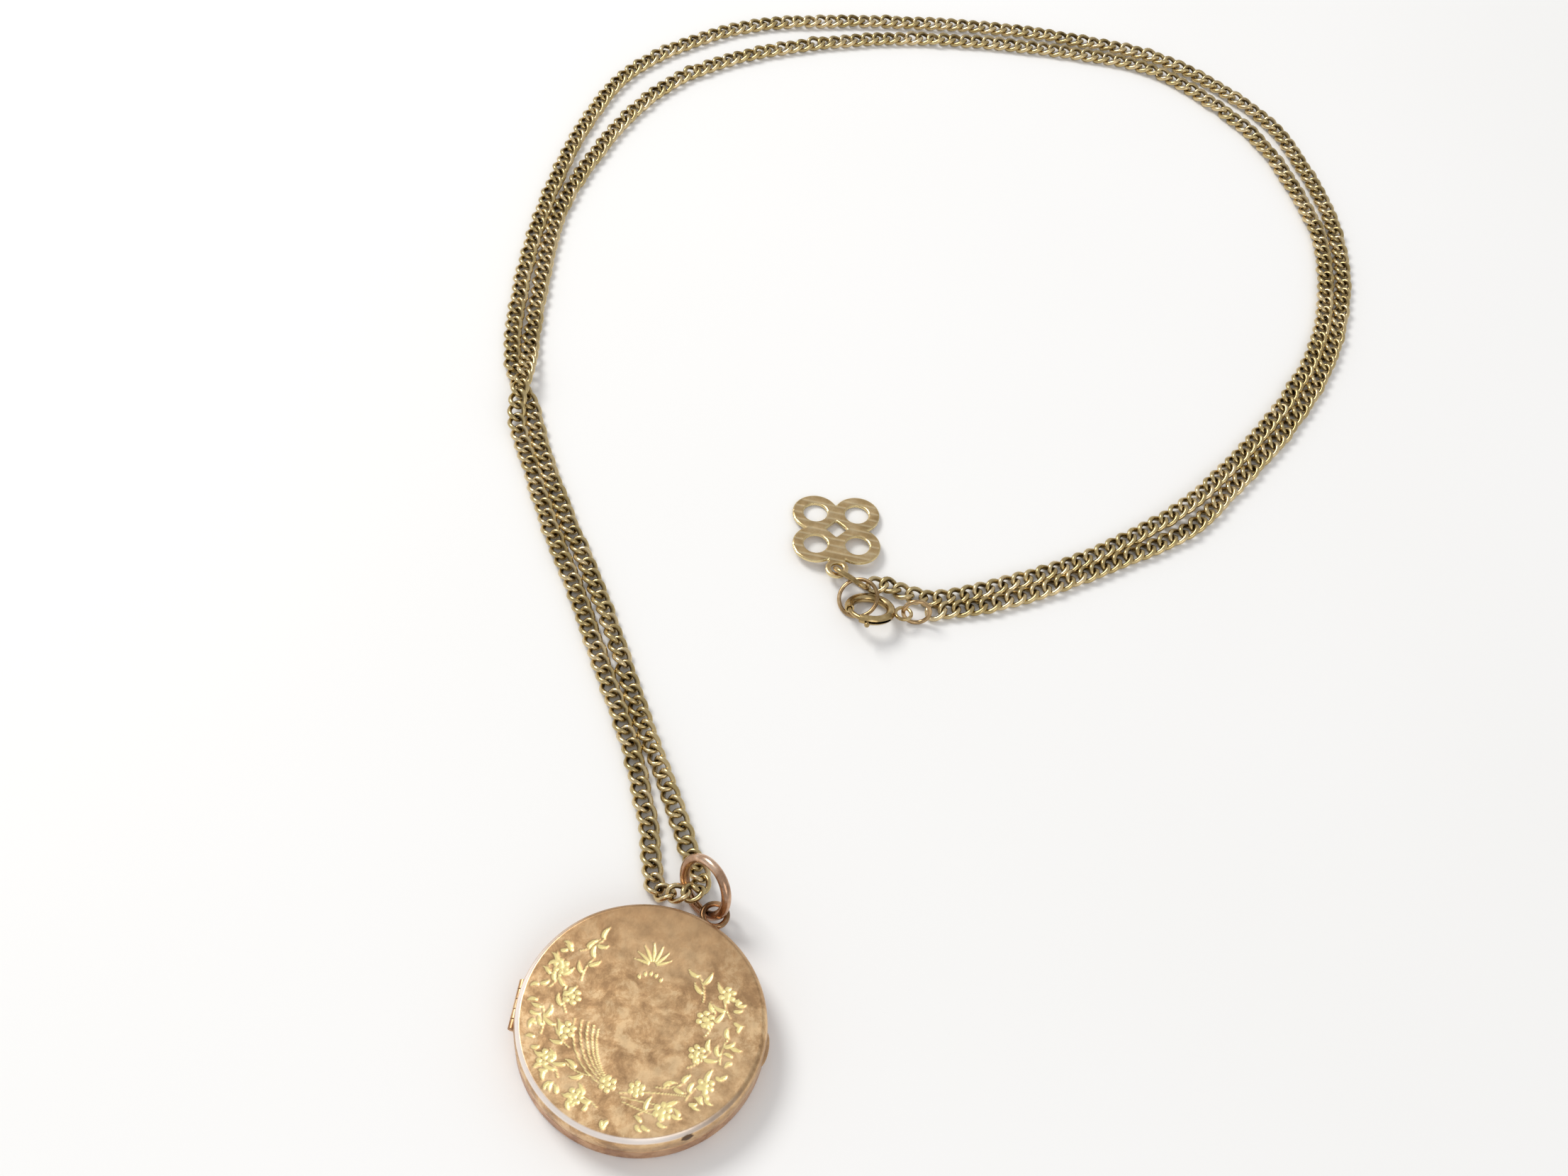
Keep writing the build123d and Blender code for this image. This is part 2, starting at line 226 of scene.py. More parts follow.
def chain_links():
    """Twisted oval links, each threaded through the next, lying in one flat curb."""
    rng = np.random.default_rng(11)
    rolls = rng.normal(0, math.radians(4), link_count)
    sways = rng.normal(0, 0.05, link_count)
    turn = np.linspace(0, 2 * math.pi, 22, endpoint=False)
    sides = 8
    parts, grime, lots = [], [], []
    for i in range(link_count):
        s = link_long + i * pitch
        centre = on_line(s)
        t = unit(on_line(s + 0.5) - on_line(s - 0.5))
        n = unit(np.array([0, 0, 1.0]) - t * t[2])
        side = np.cross(n, t)
        roll_angle = rolls[i] + strand_roll(s)
        cos, sin = math.cos(roll_angle), math.sin(roll_angle)
        side, n = side * cos + n * sin, n * cos - side * sin
        u = link_long * np.cos(turn)
        v = link_wide * np.sign(np.sin(turn)) * np.abs(np.sin(turn)) ** 0.85
        twist = 0.5 * link_twist * u / link_long
        path = (
            centre + side * sways[i] + u[:, None] * t
            + (v * np.cos(twist))[:, None] * side + (v * np.sin(twist))[:, None] * n
        )
        path[:, 2] += max(0.0, link_wire + 0.01 - path[:, 2].min())
        verts, faces = tube(path, link_wire, closed=True, sides=sides, up=n)
        # painted shade: a mask that is high on the inner side of each link, facing its middle, where the
        # chain material paints shade in dark brown
        inward = unit(centre - path)
        normal = (verts.reshape(len(turn), sides, 3) - path[:, None]) / link_wire
        facing = np.einsum("ijk,ik->ij", normal, inward)
        grime.append(np.clip(0.5 + 0.75 * facing, 0, 1).ravel())
        lots.append(np.full(len(verts), rng.random()))
        parts.append((verts, faces))
    verts, faces = join(parts)
    verts[:, 2] = np.maximum(verts[:, 2], 0.01)
    return make("neck_chain_links", verts, faces, grime=np.concatenate(grime), lot=np.concatenate(lots))


neck_chain = chain_links()


# ---------------------------------------------------------------- sizes read from the frame
def span(node):
    """A CAD node's lowest and highest corners in millimetres."""
    low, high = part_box(node)
    return np.array(low) / MM, np.array(high) / MM


def middle(node):
    low, high = span(node)
    return (low + high) / 2


case_radius = span("front_cover")[1][0]
case_top = span("front_cover")[1][2]
lid_low = span("front_cover")[0][2]
back_high = span("back_cover")[1][2]
rim_outer = span("closing_rim")[1][0]
plate = span("closing_rim")[0][2]
lid_inner = rim_outer + 0.1
hinge_x, _, hinge_z = middle("hinge_pin")
hinge_end = span("hinge_pin")[1][1]
notch = 0.62
notch_half = hinge_end + 0.08

# ---------------------------------------------------------------- the wreath cut into the lid
cuts = []
punches = []


def stroke(x, y, heading, length, bend, wide, thin):
    """A curved cut that leaves a point on a heading and tapers as it bends; angles in degrees."""
    steps = 6
    angle = np.radians(heading + bend * np.linspace(0, 1, steps))
    run = length / steps
    path = [(x, y)]
    for a in angle:
        path.append((path[-1][0] + run * math.cos(a), path[-1][1] + run * math.sin(a)))
    cuts.append((wide, thin, path))
    return path


def flower(x, y, size, turn):
    """A round middle and six round petals, struck with a punch."""
    punches.append((x, y, 0.5 * size))
    for k in range(6):
        a = turn + k * math.pi / 3
        punches.append((x + size * math.cos(a), y + size * math.sin(a), 0.44 * size))


def leafy_stem(x, y, heading, length, bend, leaf, rng):
    """A thin stem with three broad leaf cuts that leave it by turns on each side."""
    path = stroke(x, y, heading, length, bend, 0.13, 0.1)
    for k in (2, 4, 6):
        lean = heading + bend * (k - 1) / (len(path) - 2)
        hand = 1 if k % 4 else -1
        size = leaf * rng.uniform(0.75, 1.2)
        aside = math.radians(lean + 90 * hand)
        foot_x, foot_y = path[k][0] + 0.28 * math.cos(aside), path[k][1] + 0.28 * math.sin(aside)
        out = lean + hand * rng.uniform(25, 60)
        stroke(foot_x, foot_y, out, size, -hand * rng.uniform(15, 60), 0.46, 0.14)


wreath_middle = (-0.5, -0.4)
arm_radius = 8.1


def on_wreath(radius, a):
    return wreath_middle[0] + radius * math.cos(a), wreath_middle[1] + radius * math.sin(a)


def wreath():
    """Two arms of leaves and flowers that rise from the foot of the lid, open at the top."""
    rng = np.random.default_rng(31)
    for hand, reach in ((-1, 138), (1, 120)):
        for step, turned in enumerate(np.arange(12, reach, 15.0)):
            a = math.radians(-90 + hand * turned)
            outward = 1 if step % 2 else -1
            x, y = on_wreath(arm_radius - outward * 1.2, a)
            lean = math.degrees(a) + 90 * hand - hand * outward * 26
            leafy_stem(x, y, lean, 2.9, hand * outward * 34, 1.15, rng)
            if step % 3 != 2:
                x, y = on_wreath(arm_radius + outward * 1.3, a)
                flower(x, y, rng.uniform(0.58, 0.68), rng.uniform(0, 1))
            for flick in range(3):
                b = a + math.radians(rng.uniform(-8, 8))
                out = 10.2 + rng.uniform(-0.4, 0.3)
                lean = math.degrees(b) + rng.uniform(-50, 50) + 180 * (flick % 2)
                stroke(*on_wreath(out, b), lean, rng.uniform(0.6, 0.95), 50, 0.4, 0.16)
    for k in range(5):
        stroke(-1.6 - 0.15 * k, -7.6 + 0.3 * k, 158 - 7 * k, 8.6 - 0.9 * k, -62 + 6 * k, 0.14, 0.12)
    for k in range(3):
        stroke(-0.6 + 0.2 * k, -7.7 - 0.4 * k, 12 - 14 * k, 6.4 - 1.0 * k, -10 + 9 * k, 0.14, 0.12)
    for k in range(7):
        heading = 20 + 24 * k
        foot_x, foot_y = 0.5 * math.cos(math.radians(heading)), 5.6 + 0.5 * math.sin(math.radians(heading))
        stroke(foot_x, foot_y, heading, 1.9 - 0.16 * abs(k - 3), 12, 0.3, 0.14)
    for k in range(5):
        punches.append((0.55 * (k - 2), 4.7 - 0.12 * (k - 2) ** 2, 0.17))


wreath()


def engraving(points):
    """Depth share 0..1 of the cut design at each x, y point."""
    depth = np.zeros(len(points))
    for wide, thin, path in cuts:
        path = np.array(path)
        seg = np.linalg.norm(np.diff(path, axis=0), axis=1)
        share = np.r_[0, np.cumsum(seg)] / seg.sum()
        for a, b, sa, sb in zip(path, path[1:], share, share[1:]):
            low, high = np.minimum(a, b) - 0.5, np.maximum(a, b) + 0.5
            near = np.nonzero(np.all((points > low) & (points < high), axis=1))[0]
            p = points[near]
            h = np.clip(((p - a) @ (b - a)) / ((b - a) @ (b - a)), 0, 1)
            far = np.linalg.norm(p - a - h[:, None] * (b - a), axis=1)
            place = sa + h * (sb - sa)
            swell = 0.55 + 0.45 * np.sin(np.pi * np.clip(place * 0.9 + 0.1, 0, 1))
            half = np.maximum(0.72 * (wide + (thin - wide) * place) * swell, 0.085)
            groove = np.clip(1 - far / half, 0, 1) * np.clip(half / 0.16, 0.5, 1.2)
            depth[near] = np.maximum(depth[near], groove)
    for x, y, r in punches:
        far = np.hypot(points[:, 0] - x, points[:, 1] - y) / r
        depth = np.maximum(depth, np.clip(1.15 - far**2, 0, 1))
    return depth


# ---------------------------------------------------------------- lid and back, turned shells
face_edge = case_radius - 0.55
stain_angle = math.radians(-58)
stain_length = 0.65
cut_depth = 0.10


def lathe(profile, count, name, seed, lid):
    """A turned shell from (radius, height) pairs, notched for the hinge, its top face engraved on the lid."""
    turn = np.linspace(0, 2 * math.pi, count, endpoint=False)
    r = np.array([p[0] for p in profile])
    z = np.array([p[1] for p in profile])
    x = r[:, None] * np.cos(turn)
    y = r[:, None] * np.sin(turn)
    verts = np.stack([x, y, np.broadcast_to(z[:, None], x.shape)], -1).reshape(-1, 3)
    flat = np.abs(verts[:, 2] - case_top / 2) > case_top / 2 - 0.1
    verts[:, 2] -= np.abs(wobble(verts, 0.004, 3.0, seed)) * flat * (1 if lid else -1)
    near = (np.abs(verts[:, 1]) < notch_half) & (np.abs(verts[:, 0] - hinge_x) < notch)
    reach = np.sqrt(np.maximum(notch**2 - (verts[:, 0] - hinge_x) ** 2, 0))
    if lid:
        verts[near, 2] = np.maximum(verts[near, 2], hinge_z + reach[near])
    else:
        verts[near, 2] = np.minimum(verts[near, 2], hinge_z - reach[near])
    rho = np.hypot(verts[:, 0], verts[:, 1])
    angle = np.arctan2(verts[:, 1], verts[:, 0])
    cut = np.zeros(len(verts))
    bevel = np.clip(1.8 - 1.8 * np.abs(rho - face_edge - 0.19) / 0.3, 0, 1) * (verts[:, 2] > case_top - 0.5)
    # painted highlight: a near-white band on the face's bevel, strongest at the lower left where the light
    # falls
    rubbed = bevel * np.clip(0.35 + np.cos(angle - math.radians(232)), 0, 1)
    off = (angle - stain_angle) * case_radius / stain_length
    drop = (verts[:, 2] - (case_top - 0.75)) / 0.5
    spot = np.clip(1.25 - off**2 - drop**2 + wobble(verts, 0.5, 0.5, 77), 0, 1)
    # a real stain spot on the lower-right wall, joined with painted shade: a dark line along the bevel at the
    # lower right, away from the light
    stain = np.maximum(spot, 0.42 * bevel * np.clip(np.cos(angle - math.radians(-38)) - 0.55, 0, 1) / 0.45)
    if lid:
        face = (verts[:, 2] > case_top - 0.1) & (rho < face_edge - 0.2)
        cut[face] = engraving(verts[face, :2])
        verts[face, 2] -= cut_depth * cut[face]
    else:
        stain *= 0
        rubbed *= 0
    faces = grid_faces(len(profile), count)
    faces.append(tuple(reversed(range(count))))
    faces.append(tuple(range((len(profile) - 1) * count, len(profile) * count)))
    if lid:
        faces = [tuple(reversed(f)) for f in faces]
    return make(name, verts, faces, sharp=38, cut=cut, rubbed=rubbed, stain=stain)


def rounded(radius, top, size, steps=7):
    """The rounded lower edge between the underside and the side wall."""
    turn = np.linspace(0, math.pi / 2, steps)
    return [(radius - size + size * math.sin(a), top + size * (1 - math.cos(a))) for a in turn]


def lid_section():
    face = [(r, case_top) for r in np.arange(0.4, face_edge - 0.1, 0.12)]
    bevel = [(-0.04, 0.0), (0.0, 0.015), (0.14, 0.14), (0.27, 0.26)]
    bevel += [(0.34, 0.34), (0.44, 0.55), (0.51, 0.85), (0.55, 1.2)]
    edge = [(face_edge + out, case_top - down) for out, down in bevel]
    wall = [(case_radius, z) for z in (2.95, 2.65, 2.4, lid_low + 0.04)] + [(case_radius - 0.04, lid_low)]
    inner = case_top - plate
    inside = [(12.3, lid_low), (lid_inner, lid_low)] + [(lid_inner, z) for z in (2.6, 3.2, inner)]
    return face + edge + wall + inside + [(r, inner) for r in (11.0, 6.0, 1.0)]


def back_section():
    under = [(r, 0.0) for r in (1.0, 4.0, 8.0, 11.0, 11.9)] + rounded(case_radius, 0.0, 0.52)
    wall = [(case_radius, z) for z in (0.9, 1.25, 1.6, 1.95, back_high - 0.04)]
    wall += [(case_radius - 0.04, back_high)]
    inside = [(12.3, back_high)] + [(rim_outer, z) for z in (back_high, 1.5, 1.2, plate)]
    return under + wall + inside + [(r, plate) for r in (11.0, 6.0, 1.0)]


lid = lathe(lid_section(), 640, "engraved_lid", 3, True)
back = lathe(back_section(), 360, "back_shell", 4, False)


# ---------------------------------------------------------------- hinge, lip, loop and rings
def rod(a, b, radius, sides=28, edge=0.04):
    """A turned rod between two points with small chamfers."""
    a, b = np.array(a, float), np.array(b, float)
    u = unit(b - a)
    path = np.array([a, a + u * edge, a + u * edge * 1.01, b - u * edge * 1.01, b - u * edge, b])
    r = np.array([radius - edge, radius, radius, radius, radius, radius - edge])
    return tube(path, r, sides=sides, up=(1, 0, 0.2))


def slab(low, high):
    """A plain box, points and faces."""
    ends = np.array([low, high], float)
    verts = np.array([[ends[i][0], ends[j][1], ends[k][2]] for i in (0, 1) for j in (0, 1) for k in (0, 1)])
    faces = [(0, 1, 3, 2), (4, 6, 7, 5), (0, 4, 5, 1), (2, 3, 7, 6), (0, 2, 6, 4), (1, 5, 7, 3)]
    return verts, faces


knuckle_radius = 0.42
knuckle_pitch = 1.06
pin_radius = 0.2


def knuckles(indices, lid_side, name):
    """Knuckles by their place along the hinge, each with the leaf that joins it to its cover."""
    parts = []
    for i in indices:
        mid = (i - 2) * knuckle_pitch
        parts.append(rod((hinge_x, mid - 0.5, hinge_z), (hinge_x, mid + 0.5, hinge_z), knuckle_radius))
        low, high = (hinge_z + 0.3, hinge_z + 0.73) if lid_side else (hinge_z - 0.73, hinge_z - 0.3)
        parts.append(slab((hinge_x + 0.1, mid - 0.48, low), (hinge_x + 0.47, mid + 0.48, high)))
    verts, faces = join(parts)
    return make(name, verts, faces, sharp=40)


lid_knuckles = knuckles((1, 3), True, "lid_knuckles")
back_knuckles = knuckles((0, 2, 4), False, "back_knuckles")
pin_ends = ((hinge_x, -hinge_end, hinge_z), (hinge_x, hinge_end, hinge_z))
pin_verts, pin_faces = rod(*pin_ends, pin_radius, edge=0.06)
pin = make("hinge_pin_rod", pin_verts, pin_faces, sharp=40)


def lip():
    """A thin crescent catch for a thumbnail, on the lid's edge."""
    count = 33
    sweep = np.linspace(-0.155, 0.125, count)
    share = np.linspace(-1, 1, count)
    reach = 0.34 * np.sqrt(np.maximum(1 - share**2, 0.001))
    section = [(-0.04, 0.03), (0.7, 0.04), (1.0, 0.1), (1.0, 0.18), (0.75, 0.25), (-0.04, 0.31)]
    rows = []
    for out, z in section:
        radius = case_radius + (out * reach if out > 0 else out)
        height = np.full(count, lid_low + z)
        rows.append(np.stack([radius * np.cos(sweep), radius * np.sin(sweep), height], -1))
    verts = np.concatenate(rows)
    faces = grid_faces(len(rows), count, wrap_cols=False)
    return make("thumb_catch", verts, faces, sharp=60)


thumb = lip()

loop_out = np.array([math.sin(math.radians(21)), math.cos(math.radians(21)), 0])
loop_centre = loop_out * 14.25 + (0, 0, 1.9)
loop_radius = 1.28
loop_wire = 0.315
loop_path = circle(loop_centre, (0, 0, 1), loop_radius, 60)
loop_path = loop_path + wobble(loop_path, 0.02, 1.2, 8)[:, None] * unit(loop_path - loop_centre)
loop_parts = [tube(loop_path, loop_wire, closed=True, sides=20)]
foot_line = ((12.44, 1.8), (12.6, 1.82), (12.85, 1.85), (13.1, 1.88))
foot_path = np.array([loop_out * r + (0, 0, z) for r, z in foot_line])
loop_parts.append(tube(foot_path, [0.38, 0.36, 0.34, 0.28], sides=20))
for across in (-0.55, 0.55):
    shift = np.cross(loop_out, (0, 0, 1)) * across
    loop_parts.append(tube(foot_path + shift, [0.33, 0.31, 0.28, 0.22], sides=16))
loop_verts, loop_faces = join(loop_parts)
loop = make("hanging_loop_wire", loop_verts, loop_faces, sharp=60)


def wire_ring(name, centre, normal, radius, wire, seed, count=96, sides=20):
    """A slightly uneven closed ring of round wire."""
    path = circle(centre, normal, radius, count)
    uneven = wobble(path, 0.012, 1.5, seed)
    path = path + uneven[:, None] * unit(path - np.array(centre))
    thickness = wire * (1 + wobble(path, 0.02, 1.0, seed + 1))
    verts, faces = tube(path, thickness, closed=True, sides=sides, up=normal)
    return make(name, verts, faces)


bail = wire_ring("bail_wire", (3.63, 15.49, 3.47), (-0.634, -0.684, 0.361), 3.14, 0.515, 21, 120, 24)
connector = wire_ring("connector_wire", (21.49, 55.18, 1.79), (0.125, -0.949, 0.289), 1.55, 0.25, 31)
end_link = wire_ring("end_link_wire", (14.53, 56.19, 1.22), (-0.253, -0.316, 0.95), 2.28, 0.24, 41)

# ---------------------------------------------------------------- bolt ring
bolt_centre = np.array([16.1, 54.65, 1.58])
bolt_normal = (0, 0.407, 0.914)
bolt_x = (1, 0, 0)
bolt_radius = 2.45
tube_outer = 0.55
tube_inner = 0.36
body_start, body_end = 248, 556
slot_start, slot_end = 263, 327


def bolt_arc(start, end, count):
    return circle(bolt_centre, bolt_normal, bolt_radius, count, start, end, first=bolt_x)


def bolt_body():
    """A hollow ring with an open mouth and a slot for the knob, made as a skin with thickness."""
    steps, sides = 110, 24
    path = bolt_arc(body_start, body_end, steps)
    z = unit(bolt_normal)
    turn = np.linspace(0, 2 * math.pi, sides, endpoint=False)
    out = unit(path - bolt_centre)
    cos, sin = np.cos(turn)[None, :, None], np.sin(turn)[None, :, None]
    direction = out[:, None] * cos + z * sin
    outer = path[:, None] + direction * tube_outer
    inner = path[:, None] + direction * tube_inner
    verts = np.concatenate([outer.reshape(-1, 3), inner.reshape(-1, 3)])
    angle = np.linspace(body_start, body_end, steps)
    shift = steps * sides
    faces = []
    for i in range(steps - 1):
        slot_here = slot_start < (angle[i] + angle[i + 1]) / 2 < slot_end
        for j in range(sides):
            k = (j + 1) % sides
            if slot_here and j in (0, sides - 1):
                continue
            a, b = i * sides, (i + 1) * sides
            faces.append((a + j, b + j, b + k, a + k))
            faces.append((shift + a + j, shift + a + k, shift + b + k, shift + b + j))
    for i in (0, steps - 1):
        for j in range(sides):
            k = (j + 1) % sides
            a = i * sides
            quad = (a + j, a + k, shift + a + k, shift + a + j)
            faces.append(quad if i == 0 else tuple(reversed(quad)))
    return make("bolt_ring_tube", verts, faces, sharp=45)


bolt = bolt_body()
bolt_loop = wire_ring("bolt_loop_wire", (20.0, 54.85, 1.5), (0, 0.15, 1), 0.92, 0.22, 51, 60, 16)
trigger_verts, trigger_faces = tube(bolt_arc(192, 274, 40), 0.28, sides=20)
trigger = make("trigger_rod", trigger_verts, trigger_faces, sharp=50)
knob_angle = math.radians(268)
bx, by, bz = basis(bolt_normal, bolt_x)
knob_dir = math.cos(knob_angle) * bx + math.sin(knob_angle) * by
knob_out = (0.28, 0.5, 0.78, 0.88, 0.96, 1.06, 1.18, 1.3, 1.39, 1.44)
knob_radii = (0.16, 0.16, 0.17, 0.24, 0.29, 0.31, 0.31, 0.26, 0.16, 0.05)
knob_path = np.array([bolt_centre + knob_dir * (bolt_radius + d) for d in knob_out])
knob_verts, knob_faces = tube(knob_path, knob_radii, sides=24)
knob = make("trigger_knob_head", knob_verts, knob_faces)
coil_turns = 13
coil_radius = 0.2
coil_wire = 0.055
coil_t = np.linspace(0, 1, 40 * coil_turns)
coil_turn = coil_t * coil_turns * 2 * math.pi
coil_line = bolt_arc(330, 400, len(coil_t))
coil_out = unit(coil_line - bolt_centre)
coil_side = np.cos(coil_turn)[:, None] * coil_out + np.sin(coil_turn)[:, None] * bz
coil_path = coil_line + coil_radius * coil_side
coil_verts, coil_faces = tube(coil_path, coil_wire, sides=8)
coil = make("trigger_coil", coil_verts, coil_faces)


# ---------------------------------------------------------------- charm's oval ring and the charm
def oval():
    x, y, z = basis((-0.389, -0.732, -0.559), (0.883, -0.470, 0))
    centre = np.array([13.39, 58.67, 1.39])
    half, r = 1.09, 1.15
    points = []
    for a in np.radians(np.linspace(-90, 90, 26)):
        points.append(centre + x * (half + r * math.cos(a)) + y * r * math.sin(a))
    for s in np.linspace(0.8, -0.8, 9):
        points.append(centre + x * half * s + y * r)
    for a in np.radians(np.linspace(90, 270, 26)):
        points.append(centre + x * (-half + r * math.cos(a)) + y * r * math.sin(a))
    for s in np.linspace(-0.8, 0.8, 9):
        points.append(centre + x * half * s - y * r)
    verts, faces = tube(np.array(points), 0.3, closed=True, sides=18, up=z)
    return make("charm_ring_wire", verts, faces)


charm_ring = oval()

charm_hole = np.array([11.52, 59.70, 1.34])
heading, slope = math.radians(8), math.radians(5.4)
charm_x = np.array([math.cos(heading), math.sin(heading), 0])
charm_y = np.array([
    -math.sin(heading) * math.cos(slope), math.cos(heading) * math.cos(slope), -math.sin(slope),
])
charm_z = np.cross(charm_x, charm_y)
lobes = [(x, y) for x in (-2.5, 2.5) for y in (3.7, 8.7)]
lobe_radius = 2.75
lobe_hole = 1.45
charm_half = 0.225
groove_pitch = 1.05


def charm_shape(p):
    """Signed distance from the openwork outline, negative inside, for x, y points in the charm's plane."""
    def disc(cx, cy, r):
        return np.hypot(p[:, 0] - cx, p[:, 1] - cy) - r

    def box(cx, cy, hx, hy):
        return np.maximum(np.abs(p[:, 0] - cx) - hx, np.abs(p[:, 1] - cy) - hy)

    solid = np.minimum(disc(0, 0, 1.35), box(0, 1.85, 1.0, 1.85))
    solid = np.minimum(solid, box(0, 6.2, 2.5, 2.5))
    holes = disc(0, 0, 0.75)
    for x, y in lobes:
        solid = np.minimum(solid, disc(x, y, lobe_radius))
        holes = np.minimum(holes, disc(x, y, lobe_hole))
    diamond = (np.abs(p[:, 0]) + np.abs(p[:, 1] - 6.2)) / math.sqrt(2) - 0.95
    holes = np.minimum(holes, diamond)
    return np.maximum(solid, -holes)


def charm_plate():
    """The charm as a fine grid cut to its outline, with bevelled edges and bright grooves on top."""
    step = 0.07
    gx = np.arange(-5.4, 5.41, step)
    gy = np.arange(-1.5, 11.6, step)
    px, py = np.meshgrid(gx, gy)
    flat = np.stack([px.ravel(), py.ravel()], -1)
    d = charm_shape(flat)
    e = 0.01
    slope_x = (charm_shape(flat + (e, 0)) - charm_shape(flat - (e, 0))) / (2 * e)
    slope_y = (charm_shape(flat + (0, e)) - charm_shape(flat - (0, e))) / (2 * e)
    size = np.maximum(np.hypot(slope_x, slope_y), 0.3)
    pull = np.where((d > 0) & (d < 1.5 * step), d, 0)
    flat = flat - (pull / size)[:, None] * np.stack([slope_x, slope_y], -1) / size[:, None]
    inside = d < 1.5 * step
    cols = len(gx)
    quads = []
    for i in range(len(gy) - 1):
        for j in range(cols - 1):
            corner = (i * cols + j, i * cols + j + 1, (i + 1) * cols + j + 1, (i + 1) * cols + j)
            if all(inside[c] for c in corner) and sum(d[c] < 0.3 * step for c in corner) >= 1:
                quads.append(corner)
    used = sorted({c for q in quads for c in q})
    keep = {c: k for k, c in enumerate(used)}
    pts = flat[used]
    dist = np.minimum(d[used], 0)
    bevel = 0.09 * (1 - np.clip(-dist / 0.16, 0, 1)) ** 1.5
    rows = (pts @ np.array([math.sin(math.radians(12)), math.cos(math.radians(12))]) - 1.2) / groove_pitch
    off = np.abs(rows - np.round(rows)) * groove_pitch
    groove = np.clip(1 - off / 0.24, 0, 1) * (pts[:, 1] > 0.9) * np.clip(-dist / 0.25, 0, 1)
    top = charm_half - bevel - 0.055 * groove
    low = np.full(len(pts), -charm_half) + 0.6 * bevel
    count = len(used)
    flat_at = charm_hole + pts[:, :1] * charm_x + pts[:, 1:] * charm_y
    verts = np.concatenate([flat_at + h[:, None] * charm_z for h in (top, low)])
    faces = [tuple(keep[c] for c in q) for q in quads]
    edges = {}
    for q in faces:
        for a, b in zip(q, q[1:] + q[:1]):
            edges[(a, b)] = edges.get((a, b), 0) + 1
    rim = [(a, b) for (a, b) in edges if (b, a) not in edges]
    faces += [tuple(reversed([c + count for c in q])) for q in faces]
    faces += [(b, a, a + count, b + count) for a, b in rim]
    # painted highlight: a mask along the charm's outline, top and underside alike
    charm_edge_highlight = np.concatenate([1 - np.clip(-dist / 0.2, 0, 1)] * 2)
    cut = np.concatenate([groove, 0 * groove])
    return make("charm_plate", verts, faces, sharp=55, cut=cut, edge=charm_edge_highlight)


charm = charm_plate()


# ---------------------------------------------------------------- materials
def linear(rgb):
    """sRGB 0..255 to linear."""
    c = np.array(rgb, float) / 255
    return tuple(np.where(c <= 0.04045, c / 12.92, ((c + 0.055) / 1.055) ** 2.4).tolist()) + (1.0,)


def tones(*stops):
    """Colour ramp stops from pairs of a place and an sRGB colour."""
    return [(at, linear(rgb)) for at, rgb in stops]


class Shader:
    """A short way to wire a Principled material."""

    def __init__(self, name):
        self.mat = bpy.data.materials.new(name)
        self.mat.use_nodes = True
        self.tree = self.mat.node_tree
        self.bsdf = self.tree.nodes["Principled BSDF"]
        self.place = self.node("ShaderNodeTexCoord").outputs["Object"]

    def node(self, kind, **settings):
        node = self.tree.nodes.new(kind)
        for key, value in settings.items():
            setattr(node, key, value)
        return node

    def put(self, socket, value):
        if hasattr(value, "is_output"):
            self.tree.links.new(value, socket)
        else:
            socket.default_value = value

    def noise(self, scale, detail=4.0, rough=0.55, warp=0.0):
        node = self.node("ShaderNodeTexNoise")
        self.put(node.inputs["Vector"], self.place)
        self.put(node.inputs["Scale"], scale)
        self.put(node.inputs["Detail"], detail)
        self.put(node.inputs["Roughness"], rough)
        self.put(node.inputs["Distortion"], warp)
        return node.outputs["Fac"]

    def ramp(self, value, stops):
        node = self.node("ShaderNodeValToRGB")
        ramp = node.color_ramp
        ramp.elements[0].position, ramp.elements[0].color = stops[0]
        ramp.elements[1].position, ramp.elements[1].color = stops[-1]
        for at, colour in stops[1:-1]:
            ramp.elements.new(at).color = colour
        self.put(node.inputs["Fac"], value)
        return node.outputs["Color"]

    def mix(self, share, a, b):
        node = self.node("ShaderNodeMix", data_type="RGBA")
        self.put(node.inputs[0], share)
        self.put(node.inputs[6], a)
        self.put(node.inputs[7], b)
        return node.outputs[2]

    def remap(self, value, a, b, c, d):
        node = self.node("ShaderNodeMapRange")
        self.put(node.inputs[0], value)
        for socket, number in zip(node.inputs[1:5], (a, b, c, d)):
            self.put(socket, number)
        return node.outputs[0]

    def attribute(self, name):
        return self.node("ShaderNodeAttribute", attribute_name=name).outputs["Fac"]

    def bump(self, height, strength, distance):
        node = self.node("ShaderNodeBump")
        self.put(node.inputs["Height"], height)
        self.put(node.inputs["Strength"], strength)
        self.put(node.inputs["Distance"], distance)
        self.put(self.bsdf.inputs["Normal"], node.outputs["Normal"])

    def finish(self, colour, rough, metal=1.0):
        self.put(self.bsdf.inputs["Base Color"], colour)
        self.put(self.bsdf.inputs["Roughness"], rough)
        self.put(self.bsdf.inputs["Metallic"], metal)
        return self.mat


